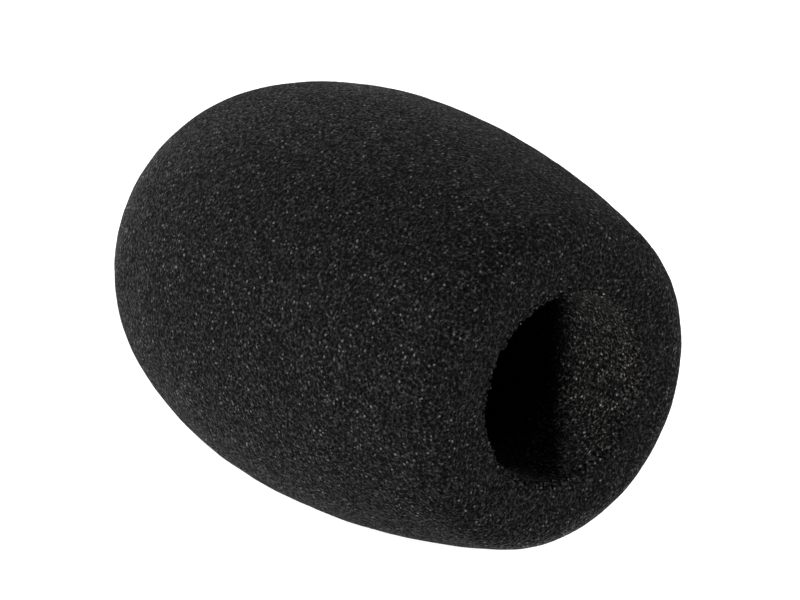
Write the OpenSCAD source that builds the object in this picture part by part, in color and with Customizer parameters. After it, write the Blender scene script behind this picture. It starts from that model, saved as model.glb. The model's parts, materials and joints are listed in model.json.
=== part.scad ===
// Foam microphone windscreen: one piece of open-cell foam, egg shaped, with a
// round blind bore that a microphone's head pushes into.
//
// The bore's axis lies along X. The mouth's flat face looks along +X, and the
// foam runs back from it along -X to the closed end. The origin is on the bore's
// axis where its straight wall starts, just inside the soft lip. Z is up: the
// piece lies on its side, as it lies on a desk. Millimetres.

/* [Body] */
// Greatest diameter, across the belly
body_d = 86; // [84:1:92]
// Length from the mouth's face to the tip of the closed end
body_l = 122; // [118:1:132]
// How far behind the mouth's face the belly is widest
belly_x = 60; // [54:1:64]
// Radius of the closed end's cap
nose_r = 39; // [36:0.5:41]

/* [Mouth] */
// Diameter of the flat ring round the mouth, where its outer edge starts to round
face_d = 54; // [50:1:58]
// Radius of the outer edge, between the flat ring and the flank
edge_r = 8; // [4:0.5:10]
// Radius of the soft lip, between the flat ring and the bore
lip_r = 1.5; // [0.5:0.25:2.5]

/* [Bore] */
// Diameter of the bore that grips the microphone's head
bore_d = 39; // [34:0.5:43]
// Thickness of foam left between the bore's end and the tip of the closed end
end_wall = 24; // [16:1:32]
// Radius of the corner where the bore's wall meets its flat end
bore_end_r = 8; // [2:0.5:14]

/* [Hidden] */
$fn = 180;
body_r = body_d / 2;
face_r = face_d / 2;
bore_r = bore_d / 2;
bore_depth = body_l - end_wall;
// Cuts run this far past what they cut, and the clipping squares reach this far
over = 5;
reach = body_l + body_d;

// The back is one arc, level at the belly, that runs on into the cap.
cap_x = body_l - nose_r;
back_run = cap_x - belly_x;
back_r = (back_run * back_run + body_r * body_r - nose_r * nose_r)
       / (2 * (body_r - nose_r));
cap_start = cap_x + nose_r * back_run / (back_r - nose_r);

// The flank is one arc, level at the belly, that runs on into the outer edge.
flank_run = belly_x - edge_r;
flank_drop = body_r - face_r;
flank_r = (flank_run * flank_run + flank_drop * flank_drop - edge_r * edge_r)
        / (2 * (flank_drop - edge_r));
edge_end = edge_r - edge_r * flank_run / (flank_r - edge_r);

// The profiles are drawn with the radius along x and the depth behind the mouth's
// face along y. This revolves one and lays its axis along X, the mouth to +X.
module turned() {
    translate([lip_r, 0, 0])
        rotate([0, -90, 0])
            rotate_extrude(convexity = 4)
                children();
}

// Keeps the part of a profile that lies between two depths, on the +x side. Both
// squares start at the depth itself, so two stretches share the same line.
module between(from, to) {
    intersection() {
        translate([0, from])
            square(reach);
        translate([0, to])
            mirror([0, 1])
                square(reach);
        children();
    }
}

// The outer shape: each circle lies inside the next one and touches it where the
// skin passes from one arc to the other, so the skin has no corner anywhere.
module skin_profile() {
    // the flat ring, and the core behind it
    square([face_r, cap_x]);
    // the rounded outer edge
    translate([face_r, edge_r])
        circle(r = edge_r);
    // the flank, from the edge to the belly
    between(edge_end, belly_x)
        translate([body_r - flank_r, belly_x])
            circle(r = flank_r);
    // the back, from the belly to the cap
    between(belly_x, cap_start)
        translate([body_r - back_r, belly_x])
            circle(r = back_r);
    // the cap of the closed end
    between(belly_x, body_l)
        translate([0, cap_x])
            circle(r = nose_r);
}

// The blind bore, with its rounded end
module bore_profile() {
    corner_x = bore_r - bore_end_r;
    corner_y = bore_depth - bore_end_r;
    translate([0, -over])
        square([bore_r, corner_y + over]);
    translate([0, -over])
        square([corner_x, bore_depth + over]);
    between(0, bore_depth)
        translate([corner_x, corner_y])
            circle(r = bore_end_r);
}

// What the soft lip takes off the square corner of the mouth
module lip_profile() {
    difference() {
        translate([0, -over])
            square([bore_r + lip_r, over + lip_r]);
        translate([bore_r + lip_r, lip_r])
            circle(r = lip_r);
    }
}

module foam_windscreen() {
    color("#232323")
        turned()
            difference() {
                skin_profile();
                bore_profile();
                lip_profile();
            }
}

foam_windscreen();
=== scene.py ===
# %% [markdown]
# # A foam microphone windscreen
#
# The real thing is one egg of black open-cell foam. A grinding wheel shapes its
# outside, and a round blind bore is cut into one end for the microphone's head.
# There is nothing to bolt together, so this lesson is about two things: an outline
# drawn from a few tangent arcs, and a surface that looks like foam up close.
#
# The imported model comes first. It is the fixed frame that every later piece has to
# fit, so its outer box is kept here.

# %% Load the imported model
import json
import math

import bmesh
import bpy
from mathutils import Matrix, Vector


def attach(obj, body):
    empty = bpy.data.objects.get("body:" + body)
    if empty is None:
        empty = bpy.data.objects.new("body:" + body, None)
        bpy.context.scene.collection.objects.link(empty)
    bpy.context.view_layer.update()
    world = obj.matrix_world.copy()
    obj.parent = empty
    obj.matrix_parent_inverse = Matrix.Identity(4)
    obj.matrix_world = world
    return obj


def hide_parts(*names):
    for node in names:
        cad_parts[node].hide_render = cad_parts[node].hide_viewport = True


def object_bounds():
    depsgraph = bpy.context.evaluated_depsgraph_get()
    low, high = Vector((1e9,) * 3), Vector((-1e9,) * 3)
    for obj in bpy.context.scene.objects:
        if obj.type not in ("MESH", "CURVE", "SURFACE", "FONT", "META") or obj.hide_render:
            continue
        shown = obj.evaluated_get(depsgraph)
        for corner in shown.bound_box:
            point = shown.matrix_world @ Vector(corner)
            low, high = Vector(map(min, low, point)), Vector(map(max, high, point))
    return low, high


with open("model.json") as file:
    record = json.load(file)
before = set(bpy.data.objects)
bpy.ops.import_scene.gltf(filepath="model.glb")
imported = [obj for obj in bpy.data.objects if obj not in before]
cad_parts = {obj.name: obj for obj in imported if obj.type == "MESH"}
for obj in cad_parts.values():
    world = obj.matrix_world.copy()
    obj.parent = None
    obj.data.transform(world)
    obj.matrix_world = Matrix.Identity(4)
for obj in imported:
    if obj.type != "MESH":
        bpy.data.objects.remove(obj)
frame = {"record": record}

cad_low, cad_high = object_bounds()
print("box of the packed model, mm:", [round(1000 * (b - a), 1) for a, b in zip(cad_low, cad_high)])

# %% [markdown]
# ## Sizes
#
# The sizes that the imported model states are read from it, so they are never typed
# twice: the box gives the length and the diameter, and the bore's mount gives its
# radius and the length of its straight wall. The other radii shape the curves
# between those. The bore's axis is the X axis, and the mouth looks along +X.

# %% Read and name the sizes
mm = 0.001
mic_bore = next(m for m in frame["record"]["mounts"] if m["name"] == "mic_bore")

mouth_x = cad_high.x
tip_x = cad_low.x
body_length = mouth_x - tip_x
body_r = cad_high.z
bore_r = mic_bore["dims"]["r_mm"] * mm
bore_wall = mic_bore["dims"]["length_mm"] * mm

belly_depth = 60 * mm
cap_r = 39 * mm
face_r = 27 * mm
edge_r = 8 * mm
lip_r = mouth_x
bore_corner_r = 8 * mm
belly_x = mouth_x - belly_depth
print(f"body {body_length / mm:.1f} x {2 * body_r / mm:.1f} mm, bore {2 * bore_r / mm:.1f} mm")

# %% [markdown]
# ## Camera
#
# A long lens, far back, keeps the egg free of wide-angle swelling. The camera is
# placed by two angles round the piece, and so are the lamps later: one from the
# front, going round, and one up from the level. One function turns the two angles
# into a direction, and one stands a camera or a lamp there, facing back.
#
# Seen at a slant, the broad flat mouth reaches farther from the middle of the axis
# than the round closed end does. So the aim lies a touch to the mouth's side, and
# the body then sits in the middle of the picture.

# %% Place the camera
def direction(azimuth, elevation):
    """The way from the piece at an angle round from the front and one up, in degrees."""
    around = math.radians(azimuth)
    up = math.radians(elevation)
    return Vector((math.sin(around) * math.cos(up), -math.cos(around) * math.cos(up), math.sin(up)))


def stand(name, data, target, way, distance):
    """Puts a camera or a lamp at a distance from the target, and turns it to face back."""
    stood = bpy.data.objects.new(name, data)
    stood.location = target + way * distance
    stood.rotation_euler = way.to_track_quat("Z", "Y").to_euler()
    bpy.context.collection.objects.link(stood)
    return stood


camera_azimuth = 51.1
camera_elevation = 21.2
camera_distance = 0.88
aim_right = 6.4 * mm
aim_up = 0.2 * mm

towards_camera = direction(camera_azimuth, camera_elevation)
picture_right = direction(camera_azimuth + 90, 0)
picture_up = towards_camera.cross(picture_right)
axis_middle = Vector(((mouth_x + tip_x) / 2, 0, 0))
aim = axis_middle + picture_right * aim_right + picture_up * aim_up

camera_data = bpy.data.cameras.new("camera")
camera_data.lens = 194.4
camera_data.sensor_width = 36
camera = stand("camera", camera_data, aim, towards_camera, camera_distance)
bpy.context.scene.camera = camera
bpy.context.scene.view_settings.view_transform = "Standard"
print("camera at", [round(c, 3) for c in camera.location])

# %% [markdown]
# ## Shader maths as plain expressions
#
# A foam finish is mostly arithmetic on distances and noises. Wiring one Math node
# at a time hides the idea, so a small class wraps a socket and lets Python's own
# operators add the nodes. `1 - mask` and `mask * 0.5` then read as they are meant.

# %% A socket that can be calculated with
class Value:
    """One output socket, which grows Math nodes when it is used in an expression."""

    def __init__(self, shader, socket):
        self.shader = shader
        self.socket = socket

    def __add__(self, other):
        return self.shader.math("ADD", self, other)

    def __radd__(self, other):
        return self.shader.math("ADD", other, self)

    def __sub__(self, other):
        return self.shader.math("SUBTRACT", self, other)

    def __rsub__(self, other):
        return self.shader.math("SUBTRACT", other, self)

    def __mul__(self, other):
        return self.shader.math("MULTIPLY", self, other)

    def __rmul__(self, other):
        return self.shader.math("MULTIPLY", other, self)

    def __pow__(self, other):
        return self.shader.math("POWER", self, other)

    def __rpow__(self, other):
        return self.shader.math("POWER", other, self)

    def rise(self, start, end):
        """0 below start, 1 above end, and a smooth step between them."""
        step = {"interpolation_type": "SMOOTHSTEP"}
        return self.shader.node("ShaderNodeMapRange", step, {0: self, 1: start, 2: end})


class Shader:
    """A material's node tree, and one method that adds any node to it."""

    def __init__(self, name):
        self.material = bpy.data.materials.new(name)
        self.material.use_nodes = True
        self.tree = self.material.node_tree
        self.bsdf = self.tree.nodes["Principled BSDF"]

    def node(self, kind, settings=None, inputs=None, output=0):
        """Adds a node, sets its settings first, then its inputs, and wraps an output."""
        made = self.tree.nodes.new(kind)
        for name, value in (settings or {}).items():
            setattr(made, name, value)
        for name, value in (inputs or {}).items():
            self.feed(made.inputs[name], value)
        return Value(self, made.outputs[output])

    def feed(self, target, value):
        """Puts a number or a colour on a socket, or links a wrapped socket to it."""
        if isinstance(value, Value):
            self.tree.links.new(value.socket, target)
        else:
            target.default_value = value

    def math(self, operation, *values):
        """A Math node on numbers or wrapped sockets, in their order."""
        return self.node("ShaderNodeMath", {"operation": operation}, dict(enumerate(values)))

    def mix(self, factor, low, high):
        """A colour from low, where factor is 0, to high, where it is 1."""
        return self.node("ShaderNodeMix", {"data_type": "RGBA"}, {0: factor, 6: low, 7: high}, 2)


def grey(level):
    """A neutral colour."""
    return (level, level, level, 1)


# %% [markdown]
# ## Lights
#
# The windscreen is lit as for a product shot. The key softbox stands low, in front,
# and is under ten degrees wide seen from the piece, so it draws one clean shadow
# edge inside the bore. Three wide softboxes skim along the skin: one at the closed
# end, one behind and above, and one low, behind on the mouth's side. That is what
# shows black foam against white. The world is white to the camera, and gives the
# piece only a weak fill, so that the bottom of the bore stays black.
#
# Lamp power is worked out from the distance, so that a matte surface facing the
# lamp comes back at `level` times its own colour.

# %% Softboxes and studio
def softbox(name, azimuth, elevation, distance, size, level):
    """A square area lamp that faces the middle of the piece."""
    data = bpy.data.lights.new(name, "AREA")
    data.shape = "SQUARE"
    data.size = size
    data.energy = level * (math.pi * distance) ** 2
    lamp = stand(name, data, axis_middle, direction(azimuth, elevation), distance)
    lamp.visible_camera = False
    print(f"{name}: {data.energy:.1f} W at {distance} m")


softbox("key_softbox", azimuth=31.5, elevation=0.5, distance=0.7, size=0.12, level=0.9)
softbox("end_softbox", azimuth=-60, elevation=16, distance=1.5, size=0.7, level=0.64)
softbox("back_softbox", azimuth=180, elevation=30, distance=1.5, size=0.7, level=0.54)
softbox("side_softbox", azimuth=150, elevation=3, distance=1.5, size=0.7, level=0.46)

fill_level = 0.1
world = bpy.data.worlds.new("studio")
bpy.context.scene.world = world
world.use_nodes = True
studio = world.node_tree.nodes["Background"]
seen = world.node_tree.nodes.new("ShaderNodeLightPath")
glow = world.node_tree.nodes.new("ShaderNodeMapRange")
glow.inputs["To Min"].default_value = fill_level
glow.inputs["To Max"].default_value = 1.0
world.node_tree.links.new(seen.outputs["Is Camera Ray"], glow.inputs["Value"])
world.node_tree.links.new(glow.outputs[0], studio.inputs["Strength"])
studio.inputs["Color"].default_value = grey(1)

# %% [markdown]
# ## Floor
#
# A wide white sheet lies just under the belly. It bounces light up to the
# underside, as a white table does. Where the camera looks at it, a glow of its own
# lifts it to the white of the studio, and only a trace of the soft shadow is left.

# %% Lay the floor
floor_half = 30
floor_gap = 0.2 * mm
floor_white = 0.55
floor_glow = 0.93

floor_mesh = bpy.data.meshes.new("floor")
sheet = bmesh.new()
bmesh.ops.create_grid(sheet, x_segments=1, y_segments=1, size=floor_half)
bmesh.ops.translate(sheet, verts=sheet.verts[:], vec=(0, 0, cad_low.z - floor_gap))
sheet.to_mesh(floor_mesh)
sheet.free()
floor = bpy.data.objects.new("floor", floor_mesh)
bpy.context.collection.objects.link(floor)

white_sheet = Shader("white_sheet")
for_camera = white_sheet.node("ShaderNodeLightPath", output="Is Camera Ray")
sheet_finish = {
    "Base Color": grey(floor_white),
    "Roughness": 0.9,
    "Specular IOR Level": 0.0,
    "Emission Color": white_sheet.mix(for_camera, grey(0), grey(1)),
    "Emission Strength": floor_glow,
}
for socket_name, value in sheet_finish.items():
    white_sheet.feed(white_sheet.bsdf.inputs[socket_name], value)
floor_mesh.materials.append(white_sheet.material)
print("floor at, mm:", round((cad_low.z - floor_gap) / mm, 2))

# %% [markdown]
# ## The outline
#
# Half of a lengthwise cut is all that a turned shape needs. It is drawn from the tip
# of the closed end to the mouth, over the lip and down the bore to the middle of
# its end. Each stretch is a circle's arc that leaves in the direction in which the
# last one arrived, so the skin never has a corner. Spinning the last point of the
# chain about an arc's centre draws that arc, which is how a compass would do it.
#
# Two arcs need a little geometry first: the back has to be level at the belly and
# touch the cap, and the flank has to be level at the belly and touch the edge.

# %% Work out the two large arcs
back_run = body_length - belly_depth - cap_r
back_r = (back_run ** 2 + body_r ** 2 - cap_r ** 2) / (2 * (body_r - cap_r))
back_angle = math.atan2(back_run, back_r - body_r)

flank_run = belly_depth - edge_r
flank_drop = body_r - face_r
flank_r = (flank_run ** 2 + flank_drop ** 2 - edge_r ** 2) / (2 * (flank_drop - edge_r))
flank_angle = math.atan2(flank_run, flank_r - flank_drop)
print(f"back {back_r / mm:.1f} mm over {math.degrees(back_angle):.1f} degrees,",
      f"flank {flank_r / mm:.1f} mm over {math.degrees(flank_angle):.1f} degrees")

# %% [markdown]
# The chain is walked with one point in hand, the pen. `arc` spins it about a
# centre, and `run` pushes it straight. The spacing along the chain is about the
# same everywhere on the outside, so the later subdivision gives even, nearly square
# faces there. The mouth gets shorter steps, and the bore's hidden depth longer ones.

# %% Draw the outside with spins and pushes
outline = bmesh.new()
pen = outline.verts.new((tip_x, 0, 0))
skin_spacing = 1.7 * mm
mouth_spacing = 1.2 * mm
lip_spacing = 0.6 * mm


def arc(centre_x, centre_z, radius, angle, spacing):
    """Spins the pen about a centre. A positive angle turns from the tip to the mouth."""
    global pen
    count = max(2, round(abs(radius * angle) / spacing))
    spun = bmesh.ops.spin(outline, geom=[pen], cent=(centre_x, 0, centre_z), axis=(0, 1, 0),
                          angle=angle, steps=count)
    pen = next(g for g in spun["geom_last"] if isinstance(g, bmesh.types.BMVert))


def run(dx, dz, spacing):
    """Pushes the pen along a straight line."""
    global pen
    count = max(1, round(math.hypot(dx, dz) / spacing))
    for _ in range(count):
        pushed = bmesh.ops.extrude_vert_indiv(outline, verts=[pen])
        pen = pushed["verts"][0]
        bmesh.ops.translate(outline, verts=[pen], vec=(dx / count, 0, dz / count))


arc(tip_x + cap_r, 0, cap_r, math.pi / 2 - back_angle, skin_spacing)
arc(belly_x, body_r - back_r, back_r, back_angle, skin_spacing)
arc(belly_x, body_r - flank_r, flank_r, flank_angle, skin_spacing)
arc(mouth_x - edge_r, face_r, edge_r, math.pi / 2 - flank_angle, mouth_spacing)
run(0, bore_r + lip_r - face_r, mouth_spacing)
arc(mouth_x - lip_r, bore_r + lip_r, lip_r, math.pi / 2, lip_spacing)
print("the pen enters the bore at, mm:", [round(c / mm, 3) for c in pen.co])

# %% [markdown]
# The bore's wall is straight, then a rounded corner leads on to its flat end. Only
# the first part of the wall is easily seen, so the steps get longer with depth.

# %% Go on down the bore to the axis
seen_wall = 30 * mm
corner_spacing = 2 * mm
deep_spacing = 3 * mm

run(-seen_wall, 0, skin_spacing)
run(seen_wall - bore_wall, 0, deep_spacing)
arc(mouth_x - lip_r - bore_wall, bore_r - bore_corner_r, bore_corner_r, -math.pi / 2, corner_spacing)
run(0, -pen.co.z, deep_spacing)
pen.co.z = 0
print(f"{len(outline.verts)} points from the tip to the bore's end")

# %% [markdown]
# ## Turning it
#
# One spin about the bore's axis makes the whole skin: outside, mouth and bore are
# one closed surface, as they are on the real foam. The two ends of the outline lie
# on the axis, so all their copies fall together there and are merged into a pole.
# A spin can leave a shape inside out, so the normals are set after the merge.
#
# Each point first notes how far along the outline it lies. The spin copies the note
# with the point, and the flat map below needs it.

# %% Spin the outline
turns = 160
merge_distance = 0.01 * mm

along = outline.verts.layers.float.new("along")
outline.verts.ensure_lookup_table()
outline_length = 0
for before, after in zip(outline.verts[:-1], outline.verts[1:]):
    outline_length += (after.co - before.co).length
    after[along] = outline_length
bmesh.ops.spin(outline, geom=outline.verts[:] + outline.edges[:], cent=(0, 0, 0), axis=(1, 0, 0),
               angle=2 * math.pi, steps=turns, use_merge=True)
bmesh.ops.remove_doubles(outline, verts=outline.verts[:], dist=merge_distance)
bmesh.ops.recalc_face_normals(outline, faces=outline.faces[:])
foam_volume = outline.calc_volume(signed=True)
print(f"outline {outline_length / mm:.0f} mm long,", len(outline.faces), "faces,",
      f"{foam_volume * 1e6:.1f} cubic centimetres of foam")

# %% [markdown]
# A flat map lets other tools paint the skin. Round the axis goes across the map, and
# along the outline goes up it. A corner at the joint line could belong to either
# side of the map, so each face's own middle decides which side is meant. A pole has
# no angle of its own, and takes its face's.

# %% Lay the flat map and make the piece
pole_r = 0.1 * mm
full_turn = 2 * math.pi
flat_map = outline.loops.layers.uv.new("OFBake")
for face in outline.faces:
    face.smooth = True
    middle = face.calc_center_median()
    middle_turn = math.atan2(middle.y, middle.z)
    for corner in face.loops:
        place = corner.vert.co
        past_middle = 0
        if math.hypot(place.y, place.z) > pole_r:
            turned = math.atan2(place.y, place.z) - middle_turn
            past_middle = (turned + math.pi) % full_turn - math.pi
        corner[flat_map].uv = ((middle_turn + past_middle) / full_turn + 0.5,
                               corner.vert[along] / outline_length)

foam_mesh = bpy.data.meshes.new("foam_body")
outline.to_mesh(foam_mesh)
outline.free()
foam_body = bpy.data.objects.new("foam_body", foam_mesh)
bpy.context.collection.objects.link(foam_body)
print("foam_body spans", [round(d / mm, 1) for d in foam_body.dimensions], "mm")

# %% [markdown]
# ## Open cells as real relief
#
# Foam cells are about a millimetre wide here. Two rounds of subdivision bring the
# skin's points close enough together to carry them, and Displace then pushes each
# point in or out along its normal. The first texture is a Voronoi whose value is
# the gap between the two nearest cell centres: it is zero on the walls between the
# cells and grows towards their middles, so a negative strength sinks pits between
# standing ribs. The second is a soft cloud for the waviness that grinding leaves.
# The subdivision's limit surface stays off: on points this close it changes nothing
# that can be seen, and it takes far longer.
#
# The rim of the bore gets more. The tube that cuts a bore tears the cells that it
# only half meets, so the rim is ragged by half a millimetre. A vertex group says
# how much of the third texture each point takes: all of it on the rim, and none
# from about two millimetres away.

# %% Subdivide and press the cells in
cell = 1.1 * mm
subdivisions = 2
torn_width = 2.2 * mm
rim_share = 0.4

even = foam_body.modifiers.new("even", "SUBSURF")
even.levels = subdivisions
even.render_levels = subdivisions
even.use_limit_surface = False

rim_x = rim_share * mouth_x
rim_r = bore_r + rim_share * lip_r
rim = foam_body.vertex_groups.new(name="rim")
for vertex in foam_mesh.vertices:
    x, y, z = vertex.co
    from_rim = math.hypot(x - rim_x, math.hypot(y, z) - rim_r)
    if from_rim < torn_width:
        rim.add([vertex.index], 1 - from_rim / torn_width, "REPLACE")


def press(name, kind, size, strength, middle, group="", **settings):
    """Displaces the skin along its normals by a procedural texture."""
    texture = bpy.data.textures.new(name, kind)
    texture.noise_scale = size
    for setting, value in settings.items():
        setattr(texture, setting, value)
    pressed = foam_body.modifiers.new(name, "DISPLACE")
    pressed.texture = texture
    pressed.texture_coords = "LOCAL"
    pressed.strength = strength
    pressed.mid_level = middle
    pressed.vertex_group = group


press("open_cells", "VORONOI", size=cell, strength=-0.35 * mm, middle=0.0, weight_1=-1, weight_2=1)
press("ground_waves", "CLOUDS", size=6 * mm, strength=0.25 * mm, middle=0.5, noise_depth=1)
press("torn_cells", "CLOUDS", size=0.8 * mm, strength=2.8 * mm, middle=0.5, group="rim", noise_depth=1)
print("pressed in:", [m.name for m in foam_body.modifiers])

# %% [markdown]
# ## Black foam
#
# Up close the foam is a net of thin ribs round dark holes, cut through at random by
# the skin. The net is worked out in the piece's own space, so the skin slices it as
# a knife slices a block, with no stretching anywhere. Real cells aren't flat-sided:
# a slow noise first bends the space by a fraction of a millimetre, which curls the
# straight walls of the Voronoi cells.

# %% Bend the space and build two nets of ribs
bend = 0.6 * mm
bend_width = 1.2 * mm
fine_cell = 0.65 * mm
coarse_rib_share = 0.2
fine_rib_share = 0.25

foam = Shader("black_foam")
here = foam.node("ShaderNodeTexCoord", output="Object")
sway_noise = {"Vector": here, "Scale": 1 / bend_width, "Detail": 1}
sway = foam.node("ShaderNodeTexNoise", {}, sway_noise, "Color")
bent = foam.node("ShaderNodeVectorMath", {"operation": "MULTIPLY_ADD"}, {0: sway, 1: (bend,) * 3, 2: here})


def cells(width, feature, output="Distance"):
    """A Voronoi net in the bent space, whose cells are about as wide as given."""
    net = {"Vector": bent, "Scale": 1 / width}
    return foam.node("ShaderNodeTexVoronoi", {"feature": feature}, net, output)


def ribs(width, share):
    """1 on the walls between cells, and 0 beyond a share of the cell's width."""
    return 1 - cells(width, "DISTANCE_TO_EDGE").rise(0, share)


coarse_ribs = ribs(cell, coarse_rib_share)
fine_ribs = ribs(fine_cell, fine_rib_share)
print(f"nets of {cell / mm:.2f} and {fine_cell / mm:.2f} mm, {len(foam.tree.nodes)} nodes so far")

# %% [markdown]
# The bore was cut with a tube, not ground, so its wall is rougher, and ribs and
# holes differ more there. Distance from the axis finds the wall, and the distance
# along the axis keeps the closed end's outer skin out of the mask. A second mask,
# `painted_deep_shade`, starts well inside the mouth: hardly any light gets that far,
# and there the foam is darkened with painted shade.

# %% Find the bore's wall
wall_start = bore_r + 1.1 * mm
wall_full = bore_r + 0.4 * mm
cap_start = tip_x + 8 * mm
cap_end = tip_x + 16 * mm
deep_start = mouth_x - 18 * mm
deep_full = mouth_x - 28 * mm

spot = {side: foam.node("ShaderNodeSeparateXYZ", {}, {0: here}, side) for side in "XYZ"}
from_axis = (spot["Y"] * spot["Y"] + spot["Z"] * spot["Z"]) ** 0.5
off_the_cap = spot["X"].rise(cap_start, cap_end)
in_bore = (1 - from_axis.rise(wall_full, wall_start)) * off_the_cap
# Painted shade: far inside the bore, where little light reaches, the foam is made darker.
painted_deep_shade = (1 - spot["X"].rise(deep_full, deep_start)) * in_bore
print("the bore darkens over, mm:", round((deep_start - deep_full) / mm, 1))

# %% [markdown]
# Brightness works by doubling: the eye sees each doubling of light as one even step.
# So ribs, fine ribs and a fine noise are added up as steps, with a few sunken holes
# taken off, and the sum is the power to which two is raised. That alone gives
# foam's uneven sparkle, many dark points and few bright ones. The dark of the holes
# is partly the foam's own black and partly painted shade in the pits.
#
# The sum is then scaled: the contrast is a little stronger in the bore, where the
# level is lifted too, and painted shade takes two steps off far inside the bore.

# %% Add up the steps
foam_black = 0.01
coarse_rib_steps = 1.6
fine_rib_steps = 1.8
grain_steps = 10
hole_steps = 1.2
middle_step = 7.0
hole_cell = 0.95 * mm
hole_inner, hole_outer = 0.1, 0.42

skin_contrast = 0.8
more_contrast_in_bore = 0.33
lift_in_bore = 0.32
painted_shade_steps = 2

fine_grain = {"Vector": here, "Scale": 1 / fine_cell, "Detail": 1}
grain = foam.node("ShaderNodeTexNoise", {}, fine_grain)
# The holes' dark is partly the foam's own black and partly painted shade in the pits.
hole = 1 - cells(hole_cell, "F1").rise(hole_inner, hole_outer)
raised = coarse_ribs * coarse_rib_steps + fine_ribs * fine_rib_steps + grain * grain_steps
relief_steps = raised - hole * hole_steps - middle_step
contrast = in_bore * more_contrast_in_bore + skin_contrast
# The painted shade far inside the bore takes its steps off here.
steps = relief_steps * contrast + in_bore * lift_in_bore - painted_deep_shade * painted_shade_steps
brightness = 2 ** steps * foam_black
print(f"black foam starts at {foam_black}, and each step doubles it")

# %% [markdown]
# Where the end of a cut rib faces the light it glints. Here the glints are painted
# highlights: every cell has a random number of its own, and a high power leaves only
# a few of them bright, each with one small round dot of brighter colour in the
# middle. No glints are painted in the painted shade far inside the bore.

# %% Painted glints
glint_cell = 0.8 * mm
dot_inner, dot_outer = 0.15, 0.4
rareness = 6
painted_glint_level = 0.17

dot = 1 - cells(glint_cell, "F1").rise(dot_inner, dot_outer)
lot = foam.node("ShaderNodeSeparateColor", {}, {0: cells(glint_cell, "F1", "Color")}, "Red")
lit_end = dot * lot ** rareness * (1 - painted_deep_shade)
# Painted highlights: the glint dots go into the colour, whatever the light does.
glint = lit_end * (in_bore * painted_glint_level + painted_glint_level)
print("share of the cells that reach half of a full glint:", round(1 - 0.5 ** (1 / rareness), 2))

# %% [markdown]
# The sheen stands for the loose rib ends that stick out of the skin. Seen from
# above they hide in the dark, and seen along the skin they line up and catch the
# light, which is why the edges of the piece look paler than its middle. Ribs have
# more of it than holes, so there are two finishes that differ in nothing else, and
# a Mix Shader goes from one to the other with the steps and the glints. The wall of
# the bore gets less of it, and a colour that is warmer by a few hundredths.

# %% Colour, relief and sheen
warmer_red = 0.05
warmer_blue = 0.03
relief_depth = 0.02 * mm
rib_sheen = 0.4
hole_sheen = 0.03
loose_low, loose_high = -1.5, 2
loose_share = 0.46
less_loose_in_bore = 0.7

# The colour holds the painted glints, and through the steps the painted shade of the bore.
level = brightness + glint
red = level * (in_bore * warmer_red + 1)
blue = level * (1 - in_bore * warmer_blue)
foam_colour = foam.node("ShaderNodeCombineColor", {}, {0: red, 1: level, 2: blue})
bump = {"Height": steps, "Distance": relief_depth, "Strength": 1}
relief = foam.node("ShaderNodeBump", {}, bump, "Normal")
finish = {
    "Base Color": foam_colour,
    "Roughness": 0.95,
    "Specular IOR Level": 0.05,
    "Sheen Roughness": 0.4,
    "Normal": relief,
}
rib_finish = foam.node("ShaderNodeBsdfPrincipled", {}, {**finish, "Sheen Weight": rib_sheen})
hole_finish = foam.node("ShaderNodeBsdfPrincipled", {}, {**finish, "Sheen Weight": hole_sheen})
on_ribs = steps.rise(loose_low, loose_high) * loose_share
loose_ends = (on_ribs + lit_end) * (1 - in_bore * less_loose_in_bore)
both = foam.node("ShaderNodeMixShader", {}, {0: loose_ends, 1: hole_finish, 2: rib_finish})
foam.feed(foam.tree.nodes["Material Output"].inputs["Surface"], both)
foam.tree.nodes.remove(foam.bsdf)
foam_mesh.materials.append(foam.material)
print("black foam:", len(foam.tree.nodes), "nodes")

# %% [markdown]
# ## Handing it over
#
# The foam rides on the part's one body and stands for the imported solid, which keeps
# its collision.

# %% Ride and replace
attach(foam_body, "root")
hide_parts("foam_windscreen")
